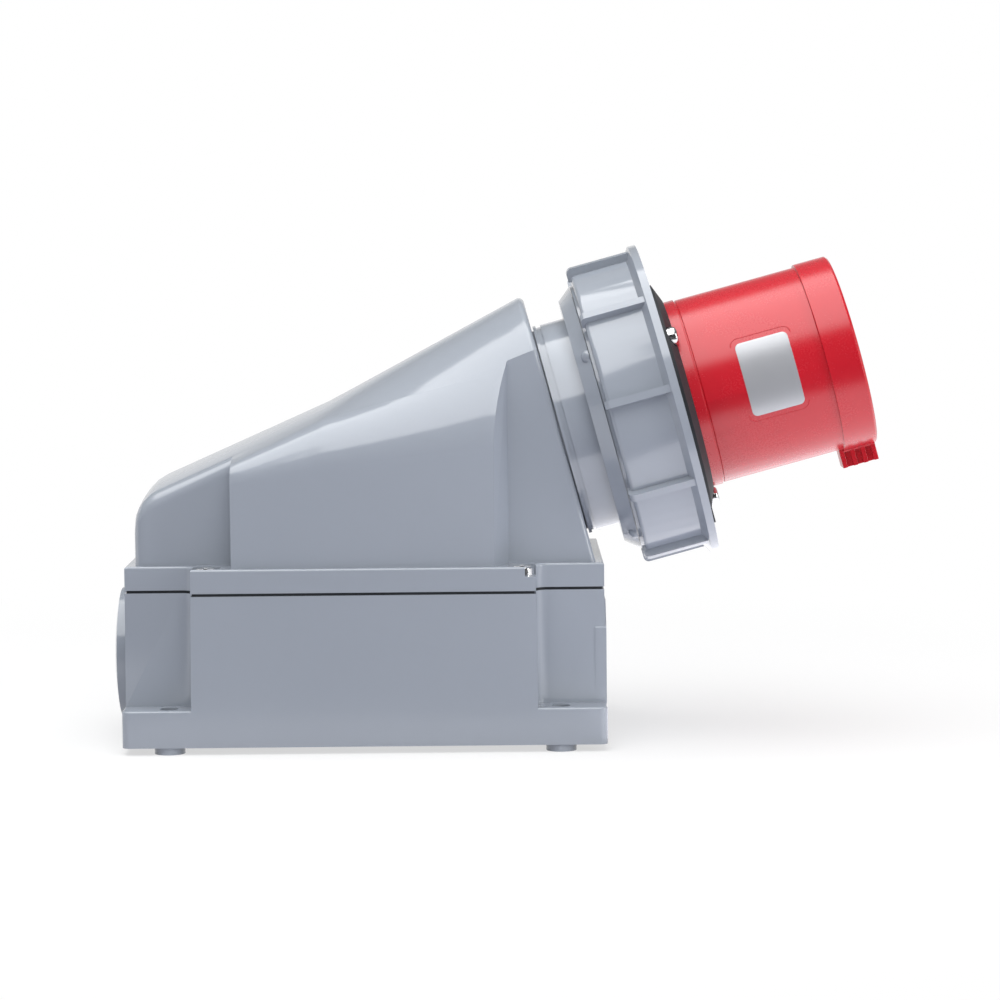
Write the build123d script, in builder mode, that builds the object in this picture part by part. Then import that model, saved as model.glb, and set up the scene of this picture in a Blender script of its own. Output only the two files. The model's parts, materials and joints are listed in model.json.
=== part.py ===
from build123d import *
import os
from math import asin, cos, pi, radians, sin, sqrt, tan

# Wall-mounted appliance inlet with a bayonet locking ring.
# Millimetres. Z = 0 is the wall face under the feet, +Z away from the wall, and the origin is
# the centre of the four fixing holes. +X points to the inlet end, +Y to one flank.

# Base box
base_length = 172.4           # over the fixing flange
base_width = 110.0
foot_height = 2.6             # feet stand proud of the underside
foot_diameter = 11.0
flange_height = 13.2
joint_height = 57.0           # middle of the joint between base and cover
joint_gap = 1.0
wall = 4.0
floor_thickness = 4.0
wall_draft = 0.5              # degrees
wall_setback = 0.3            # walls stand in from the flange at the two ends
notch_length = 24.5           # corner notches over the fixing holes
notch_width = 12.0
outer_corner = 2.8
inner_corner = 4.0            # at the inside corner of each notch
edge_round = 0.8
end_pad_drop = 4.7            # blind pad at the inlet end, below the joint
end_pad_corner = 9.0

# Fixing holes
fixing_inset_x = 16.5         # from the ends of the flange
fixing_inset_y = 6.0          # from its flanks
fixing_hole_diameter = 6.5
flange_core_depth = 8.5
flange_core_wall = 2.6
flange_core_corner = 1.0

# Cover rim, seal and cover screws
rim_height = 9.0
rim_plate = 3.5
cover_ledge = 3.3             # step between rim and hood
seal_width = 1.5
seal_setback = 0.6            # from the outside of the walls
seal_groove_depth = 1.5
cover_screw_inset_x = 5.2     # from the notches
cover_screw_inset_y = 6.8     # from the flanks
screw_diameter = 4.0
screw_head_diameter = 8.4
screw_head_height = 3.0
screw_length = 22.0
screw_recess_diameter = 11.0
screw_recess_depth = 3.4
corner_cut_length = 4.2       # the recesses at the inlet end break out at the rim's corners
corner_cut_width = 7.0
screw_post_diameter = 9.0
screw_clearance = 0.05

# Hood
hood_wall = 3.0
hood_nose_height = 91.8       # ridge at the low end
kink_distance = 68.05         # from the low end to where the ridge steepens
hood_kink_height = 121.8
nose_length = 35.45           # from the low end to where the flanks step out
recess_length = 35.65         # from the inlet end to where they step back in
shoulder_run = 5.0            # slant of that second step
roof_slope = 12.0             # degrees, where the crowned roof meets its corner rounding
slim_corner = 6.0             # roof to flank rounding
shoulder_corner = 7.0
kink_corner = 17.0
nose_round = 8.0              # low end wall to roof
nose_side_round = 3.5         # low end wall to flanks
nose_steps = 5
front_round = 2.0

# Inlet axis: where it leaves the hood's front face, and its tilt
inlet_setback = 15.2          # from the end of the walls
inlet_height = 110.5
inlet_tilt = 15.0             # degrees above the wall plane

# Stations along the inlet axis, from the hood's front face outwards
neck_seal_length = 0.6
neck_lip_length = 1.1
neck_groove_length = 1.7
collar_back = 12.3
collar_front = 17.3
ring_length = 27.0
ring_web = 4.0
ring_flange = 2.8
retainer_length = 2.0
body_front = 42.7
shroud_flange_length = 2.0
gasket_rim = 1.7              # thickness at its outer edge
gasket_length = 4.2           # and at the lip round the shroud
rear_band_length = 3.9
band_groove_length = 0.6
front_band_length = 12.5
shroud_mouth = 111.0
lip_round = 0.8
ledge_back = 26.0
ledge_front = 30.0
carrier_face = 62.0
terminal_back = -24.0

# Radii about the inlet axis
neck_radius = 39.15
neck_lip_radius = 39.4
neck_groove_radius = 38.5
neck_land_radius = 36.0
neck_seal_radius = 37.6
collar_back_radius = 45.6
collar_radius = 49.7
journal_radius = 46.0
barrel_radius = 44.5
retainer_groove_radius = 43.3
retainer_radius = 49.4
retainer_gap = 9.0            # opening of the split ring
housing_radius = 30.0
ledge_radius = 28.2
carrier_radius = 31.3
shroud_flange_radius = 42.0
gasket_radius = 42.4
gasket_lip_radius = 36.0
gasket_tab_radius = 47.5
gasket_tab_width = 14.0
shroud_radius = 34.55
rear_band_radius = 34.95
band_groove_radius = 34.1
front_band_radius = 35.5
insert_clearance = 0.2
running_clearance = 0.05      # radial, at the ring's journal
axial_play = 0.3

# Screws from inside the hood into the neck
neck_screw_radius = 33.4
neck_screw_count = 4
neck_screw_start_angle = 45.0
neck_screw_diameter = 3.4
neck_screw_head = 5.6
neck_screw_head_height = 2.6
neck_screw_length = 14.0

# Locking ring
ring_bore_radius = 50.5
ring_wall = 4.1               # from the bore to the pads between the grip ribs
ring_rib_height = 2.8         # above the pads
ring_flange_height = 3.6      # above the pads
ring_flange_slope = 2.2
pad_setback = 1.0             # pads start in front of the ribs' rear ends
pad_round = 1.6
rib_count = 10
rib_width = 2.8
rib_start_angle = 8.0
rib_round = 2.0
ramp_count = 3
ramp_height = 2.2
ramp_length = 6.0
ramp_angle = 34.0
ramp_start_angle = 47.0

# Round nubs on the back of the collar, cut off at its front face
nub_count = 4
nub_start_angle = 32.0
nub_radius = 2.6
nub_station = 16.9
nub_circle_radius = 48.0

# Keyway rib on the shroud
key_width = 11.0
key_reach = 41.2
key_length = 13.4
key_slot_count = 3
key_slot_length = 2.2
key_slot_depth = 1.6

# Contacts
contact_names = ["earth_pin", "pin_neutral", "pin_l1", "pin_l2", "pin_l3"]
contact_circle = 40.0         # pitch circle diameter
earth_angle = -90.0           # 6 o'clock
phase_pin_diameter = 8.0
earth_pin_diameter = 10.0
pilot_pin_diameter = 6.0
pin_length = 42.0
pin_nose_share = 0.3          # of the pin's diameter
pilot_length = 30.0
contact_collar = 1.0          # the shank in the carrier is this much thicker all round
collar_recess = 0.5           # and ends this far below the carrier's face
terminal_diameter = 13.0
pilot_terminal_diameter = 7.2
pilot_back = -10.0
wire_hole_diameter = 9.0
wire_hole_depth = 18.0
wire_entry_diameter = 10.0
pilot_wire_diameter = 4.0
pilot_wire_depth = 12.0
terminal_web = 2.0
contact_clearance = 0.05
clamp_screw_diameter = 5.0
clamp_screw_count = 2         # to each terminal
clamp_screw_pitch = 6.0
clamp_screw_start = 7.0       # first one, from the back of the terminal housing
clamp_screw_length = 6.0
clamp_screw_bite = 1.0        # reach into the wire hole
clamp_socket_radius = 1.2

# Screws that pull the carrier and the terminal housing together
carrier_screw_radius = 26.0
carrier_screw_diameter = 3.4
carrier_screw_head = 5.6
carrier_screw_head_height = 2.2
carrier_screw_grip = 12.0

# Screws that hold shroud and gasket
shroud_screw_radius = 38.5
shroud_screw_count = 3
shroud_screw_angle = 38.0
shroud_screw_diameter = 3.4
shroud_screw_head = 6.9
shroud_screw_head_height = 3.6
shroud_screw_head_round = 1.6
shroud_screw_recess = 7.6
shroud_screw_depth = 10.0
blind_end = 1.0               # a screw hole is this much deeper than its screw
cross_width = 1.2
cross_depth = 1.4
cross_share = 0.72            # length of the cross recess over the head's diameter

# Cable entry at the low end, closed by a blanking plug as large as the wall has room for
nut_floor_clearance = 0.2
nut_top_clearance = 2.2       # below the seal groove
nut_wall = 3.0
plug_overhang = 4.0           # head over the entry hole, all round
seal_overhang = 3.0
seat_overhang = 6.0
plug_rim = 3.9
plug_dome = 2.3
dome_mid_share = 0.5          # where the dome's arc is set out, over its radius
plug_seal_length = 1.0
plug_shank_length = 12.5
plug_wall = 3.0
plug_nut_length = 6.0

# Derived sizes
flange_top = foot_height + flange_height
base_top = joint_height - joint_gap / 2
cover_bottom = joint_height + joint_gap / 2
rim_top = joint_height + rim_height
floor_top = foot_height + floor_thickness
draft_shift = (base_top - flange_top) * tan(radians(wall_draft))
base_end_x = base_length / 2
wall_end_x = base_end_x - wall_setback
flank_y = base_width / 2
notch_x = wall_end_x - notch_length
notch_y = flank_y - notch_width
fixing_spacing_x = base_length - 2 * fixing_inset_x
fixing_spacing_y = base_width - 2 * fixing_inset_y
cover_screw_x = notch_x - cover_screw_inset_x
cover_screw_y = flank_y - cover_screw_inset_y
seal_outside = draft_shift + seal_setback
seal_bottom = base_top - seal_groove_depth
screw_seat = rim_top - screw_recess_depth
hood_inset = draft_shift + cover_ledge
hood_end_x = wall_end_x - hood_inset
hood_flank_y = flank_y - hood_inset
slim_flank_y = notch_y - hood_inset
hood_kink_x = kink_distance - hood_end_x
shoulder_start_x = nose_length - hood_end_x
shoulder_end_x = hood_end_x - recess_length
arch_radius = hood_flank_y
nose_crown = shoulder_corner + (hood_flank_y - shoulder_corner) / sin(radians(roof_slope))
neck_groove_back = neck_seal_length + neck_lip_length
ring_back = collar_front + axial_play
ring_front = ring_back + ring_length
pad_back = ring_back + pad_setback
ring_hub_radius = collar_radius + axial_play
ring_pad_radius = ring_bore_radius + ring_wall
ring_rib_radius = ring_pad_radius + ring_rib_height
ring_flange_radius = ring_pad_radius + ring_flange_height
flange_back = ring_front - ring_flange
retainer_back = ring_back + ring_web + axial_play
retainer_front = retainer_back + retainer_length
gasket_back = body_front + shroud_flange_length
gasket_seat = gasket_back + gasket_rim
gasket_front = gasket_back + gasket_length
rear_band_front = gasket_front + rear_band_length
housing_bore = housing_radius + insert_clearance
carrier_bore = carrier_radius + insert_clearance
contact_radius = contact_circle / 2
contact_step = 360 / len(contact_names)
terminal_radius = terminal_diameter / 2
terminal_seat = terminal_back + terminal_web
collar_end = carrier_face - collar_recess
pin_tip = carrier_face + pin_length
pilot_tip = carrier_face + pilot_length
pilot_wire_end = pilot_back + pilot_wire_depth
plug_nut_size = seal_bottom - nut_top_clearance - floor_top - nut_floor_clearance  # across flats
entry_height = floor_top + nut_floor_clearance + plug_nut_size / 2
shank_radius = plug_nut_size / 2 - nut_wall
entry_inner_x = -(wall_end_x - draft_shift - wall)

tilt = radians(inlet_tilt)
axis_out = Vector(cos(tilt), 0, sin(tilt))
axis_up = Vector(-sin(tilt), 0, cos(tilt))
inlet_origin = Vector(wall_end_x - inlet_setback, 0, inlet_height)
inlet_axis = Axis(inlet_origin, axis_out)

# Angles round the inlet axis, up from the -Y side
contact_angles = [earth_angle + contact_step * number for number in range(len(contact_names))]
carrier_screw_angles = [-earth_angle + 2 * contact_step * number for number in (-1, 0, 1)]
neck_screw_angles = [neck_screw_start_angle + 360 / neck_screw_count * number
                     for number in range(neck_screw_count)]
shroud_screw_angles = [shroud_screw_angle + 360 / shroud_screw_count * number
                       for number in range(shroud_screw_count)]
rib_angles = [rib_start_angle + 360 / rib_count * number for number in range(rib_count)]
ramp_angles = [ramp_start_angle + 360 / ramp_count * number for number in range(ramp_count)]
nub_angles = [nub_start_angle + 360 / nub_count * number for number in range(nub_count)]


def across_inlet(station):
    """Plane square to the inlet axis, with local X along +Y and local Y upwards."""
    return Plane(origin=inlet_origin + axis_out * station, x_dir=(0, 1, 0), z_dir=axis_out)


def station_of(point):
    """Station of a point along the inlet axis."""
    return (point - inlet_origin).dot(axis_out)


# Half plane through the inlet axis: local X is the radius and local Y the station
along_inlet = Plane(origin=inlet_origin, x_dir=axis_up, z_dir=(0, 1, 0))


def turn(*outline, mode=Mode.ADD):
    """Revolve an outline of (radius, station) points about the inlet axis."""
    with BuildSketch(along_inlet) as half:
        with BuildLine():
            Polyline(*outline, close=True)
        make_face()
    revolve(half.sketch, axis=inlet_axis, mode=mode)


def tube(inner, outer, back, front, mode=Mode.ADD):
    """A plain ring about the inlet axis."""
    with BuildSketch(across_inlet(back)) as ring:
        Circle(outer)
        if inner > 0:
            Circle(inner, mode=Mode.SUBTRACT)
    extrude(ring.sketch, amount=front - back, mode=mode)


def beside_inlet(angle):
    """Half plane through the inlet axis, turned up from the -Y side by angle degrees."""
    around = radians(angle)
    outwards = Vector(0, -cos(around), 0) + axis_up * sin(around)
    return Plane(origin=inlet_origin, x_dir=outwards, z_dir=outwards.cross(axis_out))


def spots(station, radius, angles):
    """Locations on a circle about the inlet axis, at angles up from the -Y side."""
    places = []
    for angle in angles:
        centre = inlet_origin + axis_out * station + beside_inlet(angle).x_dir * radius
        places.append(Location(Plane(origin=centre, x_dir=(0, 1, 0), z_dir=axis_out)))
    return places


def rod(places, radius, length, mode=Mode.ADD):
    """A round bar or hole at each place, along that place's own Z."""
    for place in places:
        with BuildSketch(Plane(place)) as disc:
            Circle(radius)
        extrude(disc.sketch, amount=length, mode=mode)


def cross_recess(head_diameter):
    """Outline of the cross recess in a screw's head."""
    Rectangle(head_diameter * cross_share, cross_width)
    Rectangle(cross_width, head_diameter * cross_share)


def notched_outline(inset):
    """Plan of the walls: a rectangle with its four corners cut out, drawn in by inset.

    The corner roundings shrink or grow with the inset, so that a wall keeps its thickness.
    """
    Rectangle(2 * (wall_end_x - inset), 2 * (notch_y - inset))
    Rectangle(2 * (notch_x - inset), 2 * (flank_y - inset))
    middle_x, middle_y = (notch_x + wall_end_x) / 2, (notch_y + flank_y) / 2
    inside = vertices().filter_by(
        lambda vertex: abs(vertex.X) < middle_x and abs(vertex.Y) < middle_y)
    outside = vertices() - inside
    fillet(inside, inner_corner + inset)
    fillet(outside, max(outer_corner - inset, edge_round))


def ridge_height(x):
    """Height of the hood's ridge, in two straight lines that meet at the kink."""
    tip = inlet_origin + axis_up * arch_radius
    if x < hood_kink_x:
        slope = (hood_kink_height - hood_nose_height) / (hood_kink_x + hood_end_x)
        return hood_kink_height + (x - hood_kink_x) * slope
    slope = (tip.Z - hood_kink_height) / (tip.X - hood_kink_x)
    return hood_kink_height + (x - hood_kink_x) * slope


def hood_section(plane, half_width, corner, top, foot, slope=radians(roof_slope)):
    """Closed section of the hood: straight flanks, round corners and a crowned roof.

    The roof leaves its corner rounding at the same slope in all wide sections, so that they
    loft into one another without a crease; a corner as wide as the section makes a full arch.
    """
    crown = corner + (half_width - corner) / sin(slope)
    corner_height = top - crown + (crown - corner) * cos(slope)
    middle = (pi / 2 - slope) / 2
    seam = half_width - corner + corner * sin(slope), corner_height + corner * cos(slope)
    bend = half_width - corner + corner * cos(middle), corner_height + corner * sin(middle)
    with BuildSketch(plane) as section:
        with BuildLine():
            Polyline((half_width, corner_height), (half_width, foot), (-half_width, foot),
                     (-half_width, corner_height))
            ThreePointArc((-half_width, corner_height), (-bend[0], bend[1]), (-seam[0], seam[1]))
            ThreePointArc((-seam[0], seam[1]), (0, top), seam)
            ThreePointArc(seam, bend, (half_width, corner_height))
        make_face()
    return section.sketch


def setback(radius, distance):
    """How far a rounding of this radius stands in, at a distance from the end it rounds."""
    rest = max(radius - distance, 0)
    return radius - sqrt(radius**2 - rest**2)


def nose_section(distance, inset):
    """Upright section near the hood's low end, rounded towards the end wall."""
    x = inset - hood_end_x + distance
    top = ridge_height(x) - inset - setback(nose_round - inset, distance)
    half_width = slim_flank_y - inset - setback(nose_side_round - inset, distance)
    corner = slim_corner - inset
    slope = asin((half_width - corner) / (nose_crown - inset - corner))
    return hood_section(Plane.YZ.offset(x), half_width, corner, top, 0, slope)


def hood_form(inset, bottom):
    """The hood's outer form, or the room inside it when inset by the wall.

    The sections reach down to the wall face, and what lies below bottom is cut off.
    """
    wide = hood_flank_y - inset
    step = shoulder_start_x + inset
    angles = [pi / 2 * number / nose_steps for number in range(nose_steps + 1)]
    nose = [nose_section((nose_round - inset) * (1 - cos(angle)), inset) for angle in angles]
    nose.append(nose_section(step + hood_end_x - inset, inset))
    shoulder = hood_section(Plane.YZ.offset(step), wide, shoulder_corner - inset,
                            ridge_height(step) - inset, 0)
    kink = hood_section(Plane.YZ.offset(hood_kink_x), wide, kink_corner - inset,
                        hood_kink_height - inset, 0)
    arch_foot = (inset * sin(tilt) - inlet_height) / cos(tilt)
    arch = hood_section(across_inlet(-inset), wide, wide, wide, arch_foot)
    with BuildPart() as form:
        loft(nose, ruled=True)
        loft([shoulder, kink], ruled=True)
        loft([kink, arch], ruled=True)
        split(bisect_by=Plane.XY.offset(bottom), keep=Keep.TOP)
        with BuildSketch(Plane.XY.offset(bottom)):
            for side in (1, -1):
                with BuildLine():
                    Polyline(
                        (shoulder_end_x - inset, side * flank_y),
                        (shoulder_end_x - inset, side * wide),
                        (shoulder_end_x + shoulder_run - inset, side * (slim_flank_y - inset)),
                        (base_length, side * (slim_flank_y - inset)),
                        (base_length, side * flank_y),
                        close=True,
                    )
                make_face()
        extrude(amount=base_length, mode=Mode.SUBTRACT)
    return form.part


def clamp_places(radius, angles=contact_angles):
    """Places of the clamp screws, at a radius from the inlet axis and pointing away from it."""
    places = []
    for angle in angles:
        outwards = beside_inlet(angle).x_dir
        for number in range(clamp_screw_count):
            station = terminal_back + clamp_screw_start + clamp_screw_pitch * number
            spot = inlet_origin + axis_out * station + outwards * radius
            places.append(Location(Plane(origin=spot, x_dir=axis_out, z_dir=outwards)))
    return places


# Cable entry: its axis, its half profile plane and its face
entry_centre = (-base_end_x, 0, entry_height)
entry_axis = Axis(entry_centre, (-1, 0, 0))
entry_profile = Plane(origin=entry_centre, x_dir=(0, 0, 1), z_dir=(0, -1, 0))
entry_face = Plane(origin=entry_centre, x_dir=(0, 1, 0), z_dir=(-1, 0, 0))

# Base box: flange, notched walls, screw posts, feet and cable entry
with BuildPart() as base_box:
    with BuildSketch(Plane.XY.offset(foot_height)):
        RectangleRounded(base_length, base_width, outer_corner)
    extrude(amount=flange_height)
    fillet(base_box.edges().group_by(Axis.Z)[-1], edge_round)
    with BuildSketch(Plane.XY.offset(flange_top - edge_round)):
        notched_outline(0)
    extrude(amount=base_top - flange_top + edge_round, taper=wall_draft)
    # seat for the blanking plug, and the blind pad at the other end, both flush with the flange
    with BuildSketch(entry_face):
        Circle(shank_radius + seat_overhang)
    extrude(amount=-wall)
    with BuildSketch(Plane.YZ.offset(base_end_x)):
        with BuildLine():
            pad_foot, pad_top = flange_top - edge_round, base_top - end_pad_drop
            Polyline(
                (-notch_y, pad_foot),
                (-notch_y, pad_top - end_pad_corner),
                (-notch_y + end_pad_corner, pad_top),
                (notch_y - end_pad_corner, pad_top),
                (notch_y, pad_top - end_pad_corner),
                (notch_y, pad_foot),
                close=True,
            )
        make_face()
    extrude(amount=-wall)
    with BuildSketch(Plane.XY.offset(floor_top)):
        notched_outline(draft_shift + wall)
    extrude(amount=base_top - floor_top, mode=Mode.SUBTRACT)
    with BuildSketch(Plane.XY.offset(floor_top)):
        with GridLocations(2 * cover_screw_x, 2 * cover_screw_y, 2, 2):
            Circle(screw_post_diameter / 2)
    extrude(amount=base_top - floor_top)
    with Locations(Plane.XY.offset(base_top)):
        with GridLocations(2 * cover_screw_x, 2 * cover_screw_y, 2, 2):
            Hole(screw_diameter / 2 + screw_clearance, depth=screw_length)
    # groove for the cover seal
    with BuildSketch(Plane.XY.offset(base_top)):
        notched_outline(seal_outside)
        with BuildSketch(mode=Mode.SUBTRACT):
            notched_outline(seal_outside + seal_width)
    extrude(amount=-seal_groove_depth, mode=Mode.SUBTRACT)
    # the flange corners are cored from below round a boss for each fixing hole
    with BuildSketch(Plane.XY.offset(foot_height)):
        with GridLocations(2 * notch_x + notch_length, 2 * notch_y + notch_width, 2, 2):
            RectangleRounded(notch_length - 2 * flange_core_wall, notch_width - 2 * flange_core_wall,
                             flange_core_corner)
    extrude(amount=flange_core_depth, mode=Mode.SUBTRACT)
    with BuildSketch(Plane.XY):
        with GridLocations(fixing_spacing_x, fixing_spacing_y, 2, 2):
            Circle(foot_diameter / 2)
    extrude(amount=foot_height + flange_core_depth)
    with Locations(Plane.XY.offset(flange_top)):
        with GridLocations(fixing_spacing_x, fixing_spacing_y, 2, 2):
            Hole(fixing_hole_diameter / 2)
    with Locations(entry_face):
        Hole(shank_radius + screw_clearance, depth=wall + draft_shift + wall_setback)
base_box.part.label = "base_box"

# Cover seal: a cord in the groove that fills the joint
with BuildPart() as cover_seal:
    with BuildSketch(Plane.XY.offset(seal_bottom)):
        notched_outline(seal_outside)
        with BuildSketch(mode=Mode.SUBTRACT):
            notched_outline(seal_outside + seal_width)
    extrude(amount=seal_groove_depth + joint_gap)
cover_seal.part.label = "cover_seal"

# Cover: rim and hood in one moulding
hood_outside = hood_form(0, cover_bottom)
hood_inside = hood_form(hood_wall, cover_bottom)
with BuildPart() as cover_hood:
    with BuildSketch(Plane.XY.offset(cover_bottom)):
        notched_outline(draft_shift)
    extrude(amount=rim_top - cover_bottom)
    fillet(cover_hood.edges().group_by(Axis.Z)[-1], edge_round)
    add(hood_outside)
    front_edges = cover_hood.edges().filter_by(lambda edge: abs(station_of(edge.center())) < edge_round)
    fillet(front_edges.filter_by(lambda edge: edge.center().Z > rim_top), front_round)
    with BuildSketch(Plane.XY.offset(cover_bottom)):
        notched_outline(draft_shift + wall)
        with GridLocations(2 * cover_screw_x, 2 * cover_screw_y, 2, 2):
            Circle(screw_post_diameter / 2, mode=Mode.SUBTRACT)
    extrude(amount=rim_top - rim_plate - cover_bottom, mode=Mode.SUBTRACT)
    add(hood_inside, mode=Mode.SUBTRACT)
    with Locations(Plane.XY.offset(screw_seat)):
        with GridLocations(2 * cover_screw_x, 2 * cover_screw_y, 2, 2):
            Hole(screw_diameter / 2 + screw_clearance, depth=rim_height)
    with BuildSketch(Plane.XY.offset(screw_seat)):
        with GridLocations(2 * cover_screw_x, 2 * cover_screw_y, 2, 2):
            Circle(screw_recess_diameter / 2)
        with Locations((notch_x, flank_y), (notch_x, -flank_y)):
            Rectangle(2 * corner_cut_length, 2 * corner_cut_width)
    extrude(amount=screw_recess_depth, mode=Mode.SUBTRACT)
    # opening and screw holes for the neck, right through the front wall
    tube(0, housing_bore + insert_clearance, -hood_wall - front_round, front_round, mode=Mode.SUBTRACT)
    neck_screw_places = spots(-hood_wall - front_round, neck_screw_radius, neck_screw_angles)
    rod(neck_screw_places, neck_screw_diameter / 2 + screw_clearance, hood_wall + 2 * front_round,
        mode=Mode.SUBTRACT)
cover_hood.part.label = "cover_hood"

# Cover screws: pan heads in the recesses, shanks through the cover into the posts
with BuildPart() as cover_screws:
    with BuildSketch(Plane.XY.offset(screw_seat)):
        with GridLocations(2 * cover_screw_x, 2 * cover_screw_y, 2, 2):
            Circle(screw_head_diameter / 2)
    extrude(amount=screw_head_height)
    fillet(cover_screws.edges().group_by(Axis.Z)[-1], edge_round)
    with BuildSketch(Plane.XY.offset(screw_seat + screw_head_height)):
        with GridLocations(2 * cover_screw_x, 2 * cover_screw_y, 2, 2):
            cross_recess(screw_head_diameter)
    extrude(amount=-cross_depth, mode=Mode.SUBTRACT)
    with BuildSketch(Plane.XY.offset(screw_seat)):
        with GridLocations(2 * cover_screw_x, 2 * cover_screw_y, 2, 2):
            Circle(screw_diameter / 2)
    extrude(amount=-screw_length)
cover_screws.part.label = "cover_screws"

# Blanking plug: domed head, hollow shank, flat seal and a nut inside the box
plug_radius = shank_radius + plug_overhang
dome_foot = plug_seal_length + plug_rim
with BuildPart() as blanking_plug:
    with BuildSketch(entry_profile):
        with BuildLine():
            dome_middle = dome_foot + plug_dome * (1 - dome_mid_share**2)
            ThreePointArc((0, dome_foot + plug_dome), (plug_radius * dome_mid_share, dome_middle),
                          (plug_radius, dome_foot))
            Polyline(
                (plug_radius, dome_foot),
                (plug_radius, plug_seal_length),
                (shank_radius, plug_seal_length),
                (shank_radius, -plug_shank_length),
                (shank_radius - plug_wall, -plug_shank_length),
                (shank_radius - plug_wall, plug_seal_length),
                (0, plug_seal_length),
                (0, dome_foot + plug_dome),
            )
        make_face()
    revolve(axis=entry_axis)
blanking_plug.part.label = "blanking_plug"

with BuildPart() as plug_seal:
    with BuildSketch(entry_face):
        Circle(shank_radius + seal_overhang)
        Circle(shank_radius + screw_clearance, mode=Mode.SUBTRACT)
    extrude(amount=plug_seal_length)
plug_seal.part.label = "plug_seal"

with BuildPart() as plug_nut:
    with BuildSketch(entry_face.offset(-base_end_x - entry_inner_x)):
        RegularPolygon(plug_nut_size / 2, 6, major_radius=False)
        Circle(shank_radius + screw_clearance, mode=Mode.SUBTRACT)
    extrude(amount=-plug_nut_length)
plug_nut.part.label = "plug_nut"

# Inlet body: neck, collar, ring journal and the barrel that carries shroud and contacts
with BuildPart() as inlet_body:
    turn(
        (housing_bore, 0),
        (housing_bore, ledge_back),
        (ledge_radius, ledge_back),
        (ledge_radius, ledge_front),
        (carrier_bore, ledge_front),
        (carrier_bore, body_front),
        (barrel_radius, body_front),
        (barrel_radius, retainer_front),
        (retainer_groove_radius, retainer_front),
        (retainer_groove_radius, retainer_back),
        (journal_radius, retainer_back),
        (journal_radius, collar_front),
        (collar_radius, collar_front),
        (collar_back_radius, collar_back),
        (neck_radius, collar_back),
        (neck_radius, neck_groove_back + neck_groove_length),
        (neck_groove_radius, neck_groove_back + neck_groove_length),
        (neck_groove_radius, neck_groove_back),
        (neck_lip_radius, neck_groove_back),
        (neck_lip_radius, neck_seal_length),
        (neck_land_radius, neck_seal_length),
        (neck_land_radius, 0),
    )
    with Locations(*spots(nub_station, nub_circle_radius, nub_angles)):
        Sphere(nub_radius)
    tube(journal_radius, collar_radius + nub_radius, collar_front, retainer_back, mode=Mode.SUBTRACT)
    rod(spots(0, neck_screw_radius, neck_screw_angles), neck_screw_diameter / 2 + screw_clearance,
        neck_screw_length, mode=Mode.SUBTRACT)
    rod(spots(body_front - shroud_screw_depth, shroud_screw_radius, shroud_screw_angles),
        shroud_screw_diameter / 2 + screw_clearance, shroud_screw_depth, mode=Mode.SUBTRACT)
inlet_body.part.label = "inlet_body"

with BuildPart() as neck_seal:
    tube(neck_land_radius + screw_clearance, neck_seal_radius, 0, neck_seal_length)
neck_seal.part.label = "neck_seal"

# Neck screws: driven from inside the hood
with BuildPart() as neck_screws:
    heads = spots(-hood_wall - neck_screw_head_height, neck_screw_radius, neck_screw_angles)
    rod(heads, neck_screw_head / 2, neck_screw_head_height)
    rod(heads, neck_screw_diameter / 2, neck_screw_length)
neck_screws.part.label = "neck_screws"

# Locking ring: turned shell, grip ribs and three bayonet ramps inside
with BuildPart() as locking_ring:
    turn(
        (journal_radius + running_clearance, ring_back),
        (journal_radius + running_clearance, ring_back + ring_web),
        (ring_bore_radius, ring_back + ring_web),
        (ring_bore_radius, ring_front),
        (ring_flange_radius, ring_front),
        (ring_flange_radius, flange_back),
        (ring_pad_radius, flange_back - ring_flange_slope),
        (ring_pad_radius, pad_back),
        (ring_hub_radius, pad_back),
        (ring_hub_radius, ring_back),
    )
    pad_edges = locking_ring.edges().filter_by(GeomType.CIRCLE).filter_by(
        lambda edge: abs(edge.radius - ring_pad_radius) < edge_round)
    fillet(pad_edges.group_by(lambda edge: station_of(edge.center()))[0], pad_round)
    rib_root = (ring_bore_radius + ring_pad_radius) / 2
    for angle in rib_angles:
        with BuildSketch(beside_inlet(angle)) as rib:
            with BuildLine():
                Polyline(
                    (rib_root, ring_back),
                    (ring_rib_radius, ring_back),
                    (ring_rib_radius, flange_back),
                    (rib_root, flange_back),
                    close=True,
                )
            make_face()
            fillet(vertices().group_by(Axis.Y)[0].sort_by(Axis.X)[-1], rib_round)
        extrude(rib.sketch, amount=rib_width / 2, both=True)
    ramp_front = ring_front - ring_flange
    for angle in ramp_angles:
        with BuildSketch(beside_inlet(angle)) as ramp:
            with BuildLine():
                Polyline(
                    (ring_bore_radius - ramp_height, ramp_front - ramp_length),
                    (ring_bore_radius - ramp_height, ramp_front),
                    (ring_bore_radius + ramp_height, ramp_front),
                    (ring_bore_radius + ramp_height, ramp_front - ramp_length),
                    close=True,
                )
            make_face()
        revolve(ramp.sketch, axis=inlet_axis, revolution_arc=ramp_angle)
locking_ring.part.label = "locking_ring"

# Ring retainer: a split ring in the barrel's groove, in front of the locking ring's web
with BuildPart() as ring_retainer:
    tube(retainer_groove_radius + running_clearance, retainer_radius, retainer_back, retainer_front)
    with BuildSketch(across_inlet(retainer_back)) as opening:
        with Locations((0, retainer_radius)):
            Rectangle(retainer_gap, 2 * retainer_gap)
    extrude(opening.sketch, amount=retainer_length, mode=Mode.SUBTRACT)
ring_retainer.part.label = "ring_retainer"

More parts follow.
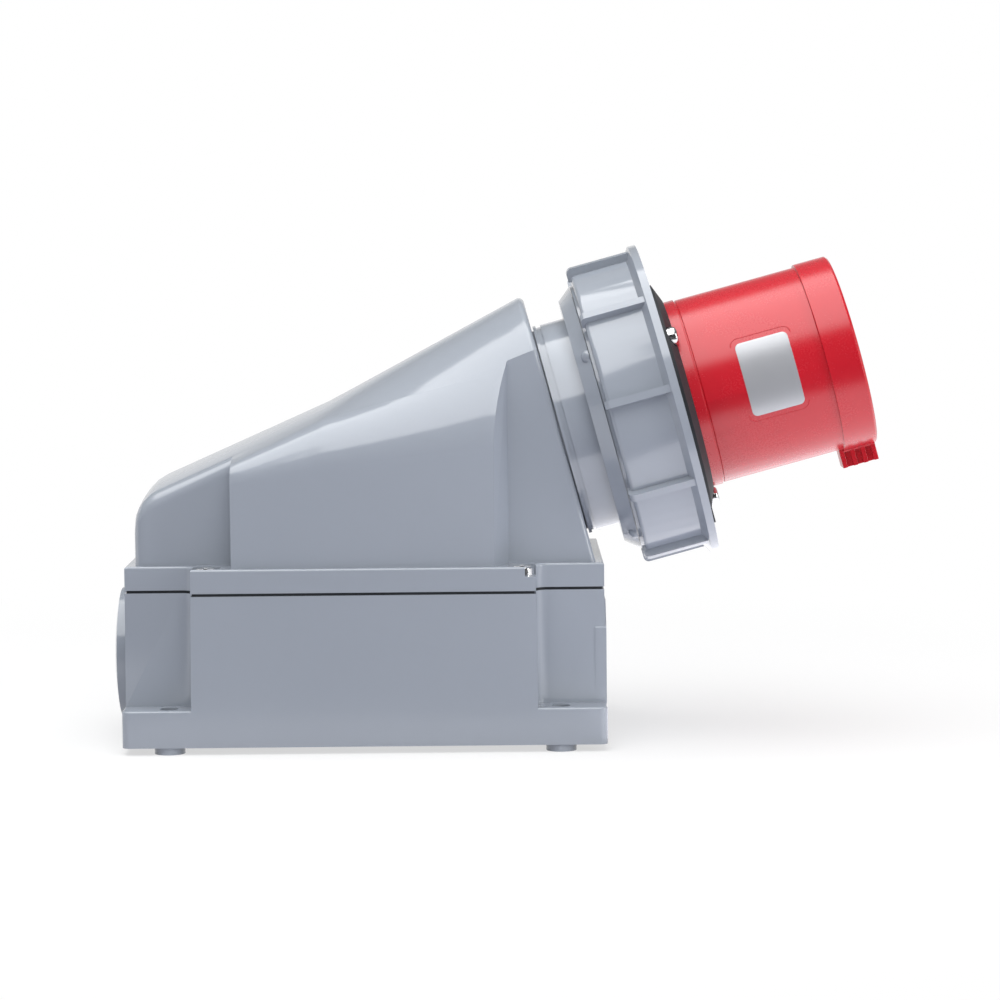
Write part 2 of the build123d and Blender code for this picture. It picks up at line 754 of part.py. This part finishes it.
# Shroud: flanged red sleeve with two raised bands and the slotted key below
with BuildPart() as shroud:
    turn(
        (carrier_bore, body_front),
        (shroud_flange_radius, body_front),
        (shroud_flange_radius, gasket_back),
        (rear_band_radius, gasket_back),
        (rear_band_radius, rear_band_front),
        (band_groove_radius, rear_band_front),
        (band_groove_radius, rear_band_front + band_groove_length),
        (shroud_radius, rear_band_front + band_groove_length),
        (shroud_radius, shroud_mouth - front_band_length),
        (front_band_radius, shroud_mouth - front_band_length),
        (front_band_radius, shroud_mouth - lip_round),
        (front_band_radius - lip_round, shroud_mouth),
        (carrier_bore, shroud_mouth),
    )
    key_back = shroud_mouth - lip_round - key_length
    key_root = (carrier_bore + shroud_radius) / 2
    with BuildSketch(across_inlet(key_back)) as key:
        with Locations((0, -(key_root + key_reach) / 2)):
            Rectangle(key_width, key_reach - key_root)
    extrude(key.sketch, amount=key_length)
    key_land = (key_length - key_slot_count * key_slot_length) / (key_slot_count + 1)
    for number in range(key_slot_count):
        station = key_back + key_land + (key_land + key_slot_length) * number
        with BuildSketch(across_inlet(station)) as slots:
            with Locations((key_width / 2, -key_reach), (-key_width / 2, -key_reach)):
                Rectangle(2 * key_slot_depth, 2 * (key_reach - front_band_radius))
        extrude(slots.sketch, amount=key_slot_length, mode=Mode.SUBTRACT)
    rod(spots(body_front, shroud_screw_radius, shroud_screw_angles),
        shroud_screw_diameter / 2 + screw_clearance, shroud_flange_length, mode=Mode.SUBTRACT)
shroud.part.label = "shroud"

# Face gasket with its tab, rising to a lip round the shroud and recessed for the screws
with BuildPart() as face_gasket:
    turn(
        (rear_band_radius + screw_clearance, gasket_back),
        (gasket_radius, gasket_back),
        (gasket_radius, gasket_seat),
        (gasket_lip_radius, gasket_front),
        (rear_band_radius + screw_clearance, gasket_front),
    )
    tab_root = (gasket_lip_radius + gasket_radius) / 2
    with BuildSketch(across_inlet(gasket_back)) as tab:
        with Locations((0, -(gasket_tab_radius + tab_root) / 2)):
            Rectangle(gasket_tab_width, gasket_tab_radius - tab_root)
    extrude(tab.sketch, amount=gasket_rim)
    rod(spots(gasket_seat, shroud_screw_radius, shroud_screw_angles),
        shroud_screw_recess / 2, gasket_length, mode=Mode.SUBTRACT)
    rod(spots(gasket_back, shroud_screw_radius, shroud_screw_angles),
        shroud_screw_diameter / 2 + screw_clearance, gasket_rim, mode=Mode.SUBTRACT)
face_gasket.part.label = "face_gasket"

with BuildPart() as shroud_screws:
    rod(spots(gasket_seat, shroud_screw_radius, shroud_screw_angles),
        shroud_screw_head / 2, shroud_screw_head_height)
    fillet(shroud_screws.edges().group_by(inlet_axis)[-1], shroud_screw_head_round)
    head_face = gasket_seat + shroud_screw_head_height
    for place in spots(head_face - cross_depth, shroud_screw_radius, shroud_screw_angles):
        with BuildSketch(Plane(place)) as cross:
            cross_recess(shroud_screw_head)
        extrude(cross.sketch, amount=cross_depth, mode=Mode.SUBTRACT)
    shank_back = body_front - shroud_screw_depth + blind_end
    rod(spots(shank_back, shroud_screw_radius, shroud_screw_angles),
        shroud_screw_diameter / 2, gasket_seat - shank_back)
shroud_screws.part.label = "shroud_screws"

# Contact carrier: the insert that the pins stand in, seen inside the shroud
with BuildPart() as contact_carrier:
    tube(0, carrier_radius, ledge_front, carrier_face)
    for name, angle in zip(contact_names, contact_angles):
        pin_radius = (earth_pin_diameter if name == "earth_pin" else phase_pin_diameter) / 2
        rod(spots(ledge_front, contact_radius, [angle]), pin_radius + contact_collar + contact_clearance,
            carrier_face - ledge_front, mode=Mode.SUBTRACT)
    rod(spots(ledge_front, 0, [0]), pilot_pin_diameter / 2 + contact_collar + contact_clearance,
        carrier_face - ledge_front, mode=Mode.SUBTRACT)
    rod(spots(ledge_front, carrier_screw_radius, carrier_screw_angles),
        carrier_screw_diameter / 2 + screw_clearance, carrier_face - ledge_front, mode=Mode.SUBTRACT)
contact_carrier.part.label = "contact_carrier"

# Terminal housing: the rear insert that holds the terminal barrels, reaching into the hood
with BuildPart() as terminal_housing:
    tube(0, housing_radius, terminal_back, ledge_back)
    rod(spots(terminal_seat, contact_radius, contact_angles), terminal_radius + contact_clearance,
        ledge_back - terminal_seat, mode=Mode.SUBTRACT)
    rod(spots(terminal_back, contact_radius, contact_angles), wire_entry_diameter / 2,
        terminal_web, mode=Mode.SUBTRACT)
    rod(spots(pilot_back, 0, [0]), pilot_terminal_diameter / 2 + contact_clearance,
        ledge_back - pilot_back, mode=Mode.SUBTRACT)
    rod(spots(terminal_back, 0, [0]), pilot_wire_diameter / 2, pilot_back - terminal_back,
        mode=Mode.SUBTRACT)
    rod(spots(ledge_back - carrier_screw_grip, carrier_screw_radius, carrier_screw_angles),
        carrier_screw_diameter / 2 + screw_clearance, carrier_screw_grip, mode=Mode.SUBTRACT)
    rod(clamp_places(contact_radius), clamp_screw_diameter / 2 + contact_clearance, housing_radius,
        mode=Mode.SUBTRACT)
terminal_housing.part.label = "terminal_housing"

with BuildPart() as carrier_screws:
    shank_length = carrier_face - ledge_back + carrier_screw_grip - blind_end
    rod(spots(carrier_face, carrier_screw_radius, carrier_screw_angles),
        carrier_screw_head / 2, carrier_screw_head_height)
    rod(spots(carrier_face - shank_length, carrier_screw_radius, carrier_screw_angles),
        carrier_screw_diameter / 2, shank_length)
carrier_screws.part.label = "carrier_screws"


def contact(name, angle, diameter):
    """A turned contact: terminal barrel with wire hole behind, collar, round-nosed pin in front."""
    with BuildPart() as body:
        rod(spots(terminal_seat, contact_radius, [angle]), terminal_radius, ledge_front - terminal_seat)
        rod(spots(ledge_front, contact_radius, [angle]), diameter / 2 + contact_collar,
            collar_end - ledge_front)
        rod(spots(collar_end, contact_radius, [angle]), diameter / 2, pin_tip - collar_end)
        fillet(body.edges().sort_by(inlet_axis)[-1], diameter * pin_nose_share)
        rod(spots(terminal_seat, contact_radius, [angle]), wire_hole_diameter / 2,
            wire_hole_depth, mode=Mode.SUBTRACT)
        rod(clamp_places(contact_radius, [angle]), clamp_screw_diameter / 2 + contact_clearance,
            terminal_diameter, mode=Mode.SUBTRACT)
    body.part.label = name
    return body


contacts = [contact(name, angle, earth_pin_diameter if name == "earth_pin" else phase_pin_diameter)
            for name, angle in zip(contact_names, contact_angles)]

with BuildPart() as pilot_pin:
    tube(pilot_wire_diameter / 2, pilot_terminal_diameter / 2, pilot_back, pilot_wire_end)
    tube(0, pilot_terminal_diameter / 2, pilot_wire_end, ledge_front)
    tube(0, pilot_pin_diameter / 2 + contact_collar, ledge_front, collar_end)
    tube(0, pilot_pin_diameter / 2, collar_end, pilot_tip)
    fillet(pilot_pin.edges().sort_by(inlet_axis)[-1], pilot_pin_diameter * pin_nose_share)
pilot_pin.part.label = "pilot_pin"

# Clamp screws: two to each terminal, with hexagon sockets
with BuildPart() as clamp_screws:
    screw_tip = contact_radius + wire_hole_diameter / 2 - clamp_screw_bite
    rod(clamp_places(screw_tip), clamp_screw_diameter / 2, clamp_screw_length)
    for place in clamp_places(screw_tip + clamp_screw_length - cross_depth):
        with BuildSketch(Plane(place)) as socket:
            RegularPolygon(clamp_socket_radius, 6)
        extrude(socket.sketch, amount=cross_depth, mode=Mode.SUBTRACT)
clamp_screws.part.label = "clamp_screws"

pieces = [
    base_box, cover_seal, cover_hood, cover_screws, blanking_plug, plug_seal, plug_nut,
    inlet_body, neck_seal, neck_screws, locking_ring, ring_retainer, shroud, face_gasket,
    shroud_screws, contact_carrier, terminal_housing, carrier_screws, *contacts, pilot_pin,
    clamp_screws,
]
os.makedirs("parts", exist_ok=True)
for piece in pieces:
    export_step(piece.part, f"parts/{piece.part.label}.step")
    print(piece.part.label, piece.part.is_valid, len(piece.part.solids()), round(piece.part.volume, 1))
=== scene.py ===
import json
from math import cos, pi, radians, sin

import bmesh
import bpy
import numpy as np
from mathutils import Matrix, Vector

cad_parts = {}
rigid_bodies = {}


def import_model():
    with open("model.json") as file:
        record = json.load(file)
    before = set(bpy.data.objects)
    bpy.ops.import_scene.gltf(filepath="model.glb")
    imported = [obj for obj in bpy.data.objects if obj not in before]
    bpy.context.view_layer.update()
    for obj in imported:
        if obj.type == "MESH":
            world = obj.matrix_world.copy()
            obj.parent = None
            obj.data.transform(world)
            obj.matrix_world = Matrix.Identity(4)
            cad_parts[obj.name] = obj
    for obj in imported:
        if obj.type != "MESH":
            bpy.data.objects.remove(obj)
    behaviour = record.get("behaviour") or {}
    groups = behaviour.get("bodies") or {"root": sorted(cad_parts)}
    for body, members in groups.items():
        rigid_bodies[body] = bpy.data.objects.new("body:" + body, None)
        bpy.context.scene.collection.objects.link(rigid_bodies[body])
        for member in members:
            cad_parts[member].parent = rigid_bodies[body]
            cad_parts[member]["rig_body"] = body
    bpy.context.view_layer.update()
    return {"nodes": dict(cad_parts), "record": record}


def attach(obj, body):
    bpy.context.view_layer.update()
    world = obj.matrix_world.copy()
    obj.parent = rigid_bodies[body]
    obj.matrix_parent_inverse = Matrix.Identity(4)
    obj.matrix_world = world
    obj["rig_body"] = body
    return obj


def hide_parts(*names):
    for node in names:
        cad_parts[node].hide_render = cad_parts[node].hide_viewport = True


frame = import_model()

# Appliance inlet with a tilted shroud and a bayonet ring: the finishes, the sticker and the studio.
# Metres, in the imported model's own frame.

MM = 0.001
MICRON = 0.000001

# The inlet's axis: a point on the hood's front face, and the tilt of all that is turned about it
INLET_FOOT = np.array([70.7, 0.0, 110.5]) * MM
INLET_TILT = radians(15.0)
AXIS_OUT = np.array([cos(INLET_TILT), 0.0, sin(INLET_TILT)])
AXIS_UP = np.array([-sin(INLET_TILT), 0.0, cos(INLET_TILT)])
AXIS_SIDE = np.array([0.0, -1.0, 0.0])
SHROUD_RADIUS = 34.55 * MM

# The sticker's place on the shroud, and the thickness of its foil
STICKER_STATION = 78.0 * MM
STICKER_ANGLE = radians(2.8)
FOIL = 0.10 * MM

# How a CAD node is dressed: corners nearer than the first value are one, and an edge that turns
# by more than the crease stays sharp and is rounded off in a few steps
SAME_CORNER = 1.0 * MICRON
CREASE = radians(28.0)
ROUNDING_STEPS = 3


# Meshes

def about_axis(radius, station, angle):
    """Points at a radius and a station of the inlet's axis; the angle goes from the near side up."""
    radius, station, angle = np.broadcast_arrays(radius, station, angle)
    outwards = np.cos(angle)[..., None] * AXIS_SIDE + np.sin(angle)[..., None] * AXIS_UP
    return INLET_FOOT + station[..., None] * AXIS_OUT + radius[..., None] * outwards


def grid_mesh(name, points, closed=False):
    """A mesh of quads on a grid of points; closed joins the last row and column to the first."""
    rows, columns = points.shape[:2]
    index = np.arange(rows * columns).reshape(rows, columns)
    if closed:
        index = np.pad(index, (0, 1), mode="wrap")
    corners = index[:-1, :-1], index[1:, :-1], index[1:, 1:], index[:-1, 1:]
    quads = np.stack(corners, -1).reshape(-1, 4)
    mesh = bpy.data.meshes.new(name)
    mesh.from_pydata(points.reshape(-1, 3).tolist(), [], quads.tolist())
    return mesh


def added(name, data):
    """A new object of the scene, with its data."""
    thing = bpy.data.objects.new(name, data)
    bpy.context.scene.collection.objects.link(thing)
    return thing


def placed(name, mesh, body, material):
    """A mesh as a smooth piece that rides on a body and takes its finish."""
    piece = added(name, mesh)
    mesh.materials.append(material)
    mesh.polygons.foreach_set("use_smooth", np.ones(len(mesh.polygons), bool))
    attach(piece, body)
    return piece


def eased(node, material, width, flat):
    """A merged copy of a CAD node with its edges eased, standing for that node.

    The width is in millimetres. Facets that turn by less than flat, in degrees, become one.
    """
    source = frame["nodes"][node]
    form = bmesh.new()
    form.from_mesh(source.data)
    bmesh.ops.remove_doubles(form, verts=form.verts, dist=SAME_CORNER)
    bmesh.ops.dissolve_limit(form, angle_limit=radians(flat), verts=form.verts, edges=form.edges)
    mesh = bpy.data.meshes.new(node + "_dressed")
    form.to_mesh(mesh)
    form.free()
    piece = placed(node + "_dressed", mesh, source["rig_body"], material)
    mesh.set_sharp_from_angle(angle=CREASE)
    bevel = piece.modifiers.new("eased edges", "BEVEL")
    bevel.width = width * MM
    bevel.segments = ROUNDING_STEPS
    bevel.limit_method = "ANGLE"
    bevel.angle_limit = CREASE
    bevel.use_clamp_overlap = True
    bevel.harden_normals = True
    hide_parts(node)


# Materials

class Wire:
    """A shader socket that takes part in plain arithmetic."""

    def __init__(self, graph, socket):
        self.graph, self.socket = graph, socket

    def _math(self, operation, first, second):
        return self.graph.node("ShaderNodeMath", {"operation": operation}, [first, second])

    def __add__(self, other):
        return self._math("ADD", self, other)

    __radd__ = __add__

    def __mul__(self, other):
        return self._math("MULTIPLY", self, other)

    __rmul__ = __mul__

    def __sub__(self, other):
        return self._math("SUBTRACT", self, other)

    def __rsub__(self, other):
        return self._math("SUBTRACT", other, self)


class Graph:
    """The nodes of a material or of the world, all added by one method."""

    def __init__(self, tree, end):
        self.tree = tree
        self.surface = tree.nodes[end].inputs["Surface"]

    def node(self, kind, settings=None, inputs=None, output=0):
        """Adds a node of a type, with its settings and the values or links of its sockets."""
        made = self.tree.nodes.new(kind)
        for key, value in (settings or {}).items():
            setattr(made, key, value)
        pairs = inputs.items() if isinstance(inputs, dict) else enumerate(inputs or [])
        for socket, value in pairs:
            if isinstance(value, Wire):
                self.tree.links.new(value.socket, made.inputs[socket])
            else:
                made.inputs[socket].default_value = value
        return Wire(self, made.outputs[output])

    def ray(self, kind):
        """1 for rays of a kind, Camera or Glossy, and 0 for all others."""
        return self.node("ShaderNodeLightPath", output=f"Is {kind} Ray")

    def coordinate(self, vector, axis):
        """A vector's X, Y or Z."""
        return self.node("ShaderNodeSeparateXYZ", {}, [vector], output=axis)

    def ramp(self, value, start, end, first, last):
        """A smooth change from first to last while a value goes from start to end."""
        return self.node("ShaderNodeMapRange", {"interpolation_type": "SMOOTHSTEP"}, {
            "Value": value, "From Min": start, "From Max": end, "To Min": first, "To Max": last})

    def mix(self, factor, first, second):
        """A shader between two, by a factor from 0 to 1."""
        return self.node("ShaderNodeMixShader", {}, [factor, first, second])

    def show(self, shader):
        """Puts a shader on the surface."""
        self.tree.links.new(shader.socket, self.surface)


# A Mix node's colour sockets, whose names its other sockets have too
MIX_FIRST, MIX_SECOND, MIX_RESULT = 6, 7, 2


class Finish(Graph):
    """A material: one Principled shader, and the nodes that feed it."""

    def __init__(self, name, **values):
        self.material = bpy.data.materials.new(name)
        self.material.use_nodes = True
        super().__init__(self.material.node_tree, "Material Output")
        self.shader = self.tree.nodes["Principled BSDF"]
        for socket, value in values.items():
            self.shader.inputs[socket.replace("_", " ")].default_value = value

    def place(self):
        """Object coordinates, in metres."""
        return self.node("ShaderNodeTexCoord", output="Object")

    def noise(self, scale, detail=2.0, roughness=0.5):
        """Noise from 0 to 1 whose patches are about 1/scale metres wide."""
        return self.node("ShaderNodeTexNoise", {}, {
            "Vector": self.place(), "Scale": scale, "Detail": detail, "Roughness": roughness})

    def blend(self, factor, first, second):
        """A colour between two, by a factor from 0 to 1."""
        return self.node("ShaderNodeMix", {"data_type": "RGBA"}, {
            "Factor": factor, MIX_FIRST: (*first, 1.0), MIX_SECOND: (*second, 1.0)}, MIX_RESULT)

    def bump(self, height, depth):
        """A bump whose height runs from 0 to depth metres."""
        return self.node("ShaderNodeBump", {}, {"Height": height, "Distance": depth})

    def feed(self, **wires):
        """Links wires to the shader's sockets, and gives the material."""
        for socket, wire in wires.items():
            self.tree.links.new(wire.socket, self.shader.inputs[socket.replace("_", " ")])
        return self.material


def moulded(name, deep, pale, roughness, grain, coat=0.0, coat_roughness=0.12):
    """Moulded plastic: a little flow in the colour, a fine grain in microns, and soft gloss."""
    finish = Finish(name, IOR=1.56, Coat_Weight=coat, Coat_Roughness=coat_roughness)
    flow = finish.noise(14.0, detail=3.0)
    cloud = finish.noise(60.0, detail=4.0)
    fine = finish.noise(1600.0)
    return finish.feed(
        Base_Color=finish.blend(flow, deep, pale),
        Roughness=roughness + (cloud - 0.5) * 0.05 + (fine - 0.5) * 0.03,
        Normal=finish.bump(fine, grain * MICRON),
    )


def rubbery(name, colour):
    """Seal rubber: dull, with a paler bloom and a grain."""
    finish = Finish(name, IOR=1.5)
    bloom = finish.noise(90.0, detail=4.0)
    return finish.feed(
        Base_Color=finish.blend(bloom, colour, tuple(2.2 * c for c in colour)),
        Roughness=0.62 + (bloom - 0.5) * 0.2,
        Normal=finish.bump(finish.noise(1200.0), 30.0 * MICRON),
    )


def plated(name, colour, roughness, wear, metallic=1.0):
    """Plated or turned metal: fine tool marks, and patches that wear has darkened."""
    finish = Finish(name, Metallic=metallic)
    marks = finish.noise(700.0, detail=3.0, roughness=0.6)
    patches = finish.noise(150.0, detail=3.0)
    return finish.feed(
        Base_Color=finish.blend(patches, colour, tuple(c * (1 - wear) for c in colour)),
        Roughness=roughness + (marks - 0.5) * 0.12,
        Normal=finish.bump(marks, 8.0 * MICRON),
    )


housing_grey = moulded("housing grey plastic", (0.322, 0.352, 0.398), (0.342, 0.372, 0.418),
                       roughness=0.15, grain=3.0, coat=0.25)
inlet_grey = moulded("inlet grey plastic", (0.318, 0.348, 0.394), (0.338, 0.368, 0.414),
                     roughness=0.13, grain=3.0, coat=0.6)
shroud_red = moulded("shroud red plastic", (0.530, 0.002, 0.012), (0.575, 0.004, 0.017),
                     roughness=0.27, grain=1.5, coat=0.32, coat_roughness=0.24)
insert_dark = moulded("insert dark plastic", (0.030, 0.031, 0.034), (0.040, 0.041, 0.045),
                      roughness=0.45, grain=12.0)
seal_black = rubbery("seal rubber", (0.012, 0.014, 0.017))
seal_grey = rubbery("neck seal rubber", (0.150, 0.160, 0.180))
screw_chrome = plated("plated screw steel", (0.80, 0.80, 0.81), roughness=0.22, wear=0.15)
spring_steel = plated("spring steel", (0.50, 0.50, 0.51), roughness=0.32, wear=0.25)
contact_brass = plated("turned contact brass", (0.78, 0.63, 0.36), roughness=0.24, wear=0.12)
label_foil = plated("sticker foil", (0.52, 0.53, 0.55), roughness=0.34, wear=0.04, metallic=0.45)

slots = {row["node"]: row["material_slot"] for row in frame["record"]["subparts"]}
finishes = {"grey_housing": housing_grey, "grey_inlet": inlet_grey, "red_shroud": shroud_red,
            "dark_insert": insert_dark, "seal_rubber": seal_black, "screw_steel": screw_chrome,
            "spring_steel": spring_steel, "contact_metal": contact_brass}


# The pieces

# For each node with eased edges, their width in millimetres and the turn, in degrees, under which
# two facets become one. The hood keeps its small facets, which its highlight needs.
easing = {"base_box": (0.7, 0.6), "cover_hood": (0.8, 0.05), "locking_ring": (0.5, 0.6),
          "inlet_body": (0.5, 0.6), "shroud": (0.4, 0.6), "face_gasket": (0.4, 0.6),
          "shroud_screws": (0.25, 0.6), "cover_screws": (0.2, 0.6)}
for node, source in frame["nodes"].items():
    finish = seal_grey if node == "neck_seal" else finishes[slots[node]]
    if node in easing:
        eased(node, finish, *easing[node])
    else:
        source.data.materials.clear()
        source.data.materials.append(finish)


def sticker(half_length, half_width, corner):
    """The bare rating sticker: a rounded rectangle of thin foil bent round the shroud.

    Grid of (station, angle): its half width at each station shrinks near the ends by the
    corner circle, and all of it lies one foil thickness above the shroud.
    """
    bow = half_length - corner * (1 - np.sin(np.linspace(0, pi / 2, 9)))
    middle = np.linspace(-half_length + corner, half_length - corner, 9)[1:-1]
    along = np.concatenate([-bow[::-1], middle, bow])[:, None]
    past = np.clip(np.abs(along) - (half_length - corner), 0, corner)
    reach = half_width - corner + np.sqrt(corner**2 - past**2)
    across = np.linspace(-1, 1, 49)[None, :] * reach / SHROUD_RADIUS
    points = about_axis(SHROUD_RADIUS + FOIL, STICKER_STATION + along, STICKER_ANGLE + across)
    return grid_mesh("rating_sticker", points)


def frame_line(half_length, half_width, corner, thick, proud):
    """The moulded line round the sticker's place: a low bead on a closed path, half of it sunk.

    The path is a rounded rectangle laid on the shroud, traced by a direction t as a corner
    circle of that direction shifted to its corner; the profile is an ellipse, thick wide
    and twice proud high, set across the path. Grid of (t, profile), closed both ways.
    """
    steps = 12
    quarter = np.repeat(np.arange(4), steps)[:, None]
    turn = (quarter + np.tile(np.linspace(0, 1, steps), 4)[:, None]) * pi / 2
    corner_along = np.array([1, -1, -1, 1])[quarter] * (half_length - corner)
    corner_across = np.array([1, 1, -1, -1])[quarter] * (half_width - corner)
    bulge = np.linspace(0, 2 * pi, 17)[None, :-1]
    radius = corner + thick / 2 * np.cos(bulge)
    along = corner_along + radius * np.cos(turn)
    across = corner_across + radius * np.sin(turn)
    points = about_axis(SHROUD_RADIUS + proud * np.sin(bulge), STICKER_STATION + along,
                        STICKER_ANGLE + across / SHROUD_RADIUS)
    return grid_mesh("sticker_frame_line", points, closed=True)


label = placed("rating_sticker", sticker(9.65 * MM, 13.75 * MM, corner=2.0 * MM),
               "housing", label_foil)
backing = label.modifiers.new("foil thickness", "SOLIDIFY")
backing.thickness = FOIL
backing.offset = -1.0
placed("sticker_frame_line",
       frame_line(11.0 * MM, 15.85 * MM, corner=2.6 * MM, thick=0.42 * MM, proud=0.15 * MM),
       "housing", shroud_red)


# Studio

def lamp(name, place, target, size, watts, colour=(1.0, 1.0, 1.0)):
    """A softbox that faces a target."""
    data = bpy.data.lights.new(name, "AREA")
    data.shape = "RECTANGLE"
    data.size, data.size_y = size
    data.energy = watts
    data.color = colour
    box = added(name, data)
    box.location = place
    box.rotation_mode = "QUATERNION"
    box.rotation_quaternion = (Vector(target) - Vector(place)).to_track_quat("-Z", "Y")
    return box


centre = (0.05, 0.0, 0.09)
# Two softboxes side by side overhead, facing straight down
lamp("overhead softbox", (0.08, -0.61, 1.25), (0.08, -0.61, 0.0), size=(1.0, 2.2), watts=22.0)
lamp("left softbox", (-0.71, -0.14, 1.25), (-0.71, -0.14, 0.0), size=(0.58, 1.26), watts=7.3)
# A fill before the object that its gloss doesn't show
fill = lamp("front fill", (-0.3, -2.4, 0.5), centre, size=(2.4, 1.2), watts=9.2,
            colour=(0.97, 0.98, 1.0))
fill.visible_glossy = False
# A light table under the overhanging inlet, which brightens what faces down and shows in its gloss
table = lamp("light table", (0.37, 0.03, 0.003), (0.37, 0.03, 1.0), size=(0.56, 0.48), watts=0.62,
             colour=(0.93, 0.92, 1.0))
table.visible_camera = False
lamp("right strip", (1.55, -0.62, 0.40), centre, size=(0.40, 1.3), watts=11.0)

# The floor is white to the camera and fades to plain white away from the object, so that its
# shadow stays. In reflections it is white under and behind the object and dark before it, and
# to everything else it is a grey that throws little light upwards. Its glow is no lamp.
edge = 6.0
floor_mesh = bpy.data.meshes.new("studio_floor")
floor_mesh.from_pydata([(-edge, -edge, 0), (edge, -edge, 0), (edge, edge, 0), (-edge, edge, 0)],
                       [], [(0, 1, 2, 3)])
floor = added("studio_floor", floor_mesh)
floor_finish = Finish("studio floor", Roughness=0.8)
floor_finish.material.cycles.emission_sampling = "NONE"
by_camera, by_gloss = floor_finish.ray("Camera"), floor_finish.ray("Glossy")
spot = floor_finish.place()
away = floor_finish.node("ShaderNodeVectorMath", {"operation": "LENGTH"}, [spot], output="Value")
fade = floor_finish.ramp(away, 0.16, 0.45, 0.62, 1.0)
in_gloss = floor_finish.ramp(floor_finish.coordinate(spot, "Y"), -0.27, -0.16, 0.06, 0.95)
floor_finish.feed(
    Base_Color=floor_finish.blend(by_camera, (0.48, 0.48, 0.54), (0.86, 0.86, 0.86)))
plain = Wire(floor_finish, floor_finish.shader.outputs[0])
white = floor_finish.blend(by_gloss * in_gloss + by_camera, (0.0, 0.0, 0.0), (1.0, 1.0, 1.0))
glow = floor_finish.node("ShaderNodeEmission", {}, {"Color": white, "Strength": 1.0})
floor_finish.show(floor_finish.mix(by_camera * fade + by_gloss, plain, glow))
floor_mesh.materials.append(floor_finish.material)

# The backdrop: white to the camera, white behind the object and dark before it in reflections,
# and a dim even light on everything else
world = bpy.data.worlds.new("studio")
bpy.context.scene.world = world
world.use_nodes = True
sky = Graph(world.node_tree, "World Output")
sky.tree.nodes.remove(sky.tree.nodes["Background"])


def backdrop(colour, strength):
    """A backdrop of one colour."""
    return sky.node("ShaderNodeBackground", {}, {"Color": (*colour, 1.0), "Strength": strength})


direction = sky.node("ShaderNodeTexCoord", output="Generated")
behind = sky.ramp(sky.coordinate(direction, "Y"), -0.30, 0.40, 0.05, 1.0)
low = sky.ramp(sky.coordinate(direction, "Z"), 0.16, 0.42, 1.0, 0.30)
ambient = backdrop((0.94, 0.96, 1.0), 0.22)
mirrored = backdrop((0.8, 0.8, 0.8), behind * low)
shown = backdrop((1.0, 1.0, 1.0), 1.0)
sky.show(sky.mix(sky.ray("Camera"), sky.mix(sky.ray("Glossy"), ambient, mirrored), shown))

bpy.context.scene.view_settings.view_transform = "Standard"

# Camera at the photograph's place: 1.2 m off, a little above the hood, looking 5.2 degrees down
camera_data = bpy.data.cameras.new("camera")
camera_data.sensor_width = 36.0
camera_data.lens = 117.7
camera = added("camera", camera_data)
dip, roll = radians(5.2), radians(0.55)
right, rise = Vector((1, 0, 0)), Vector((0, sin(dip), cos(dip)))
back = Vector((0, -cos(dip), sin(dip)))
local_x = cos(roll) * right - sin(roll) * rise
local_y = sin(roll) * right + cos(roll) * rise
camera.rotation_mode = "QUATERNION"
camera.rotation_quaternion = Matrix((local_x, local_y, back)).transposed().to_quaternion()
camera.location = (0.04865, -1.201, 0.1942)
bpy.context.scene.camera = camera
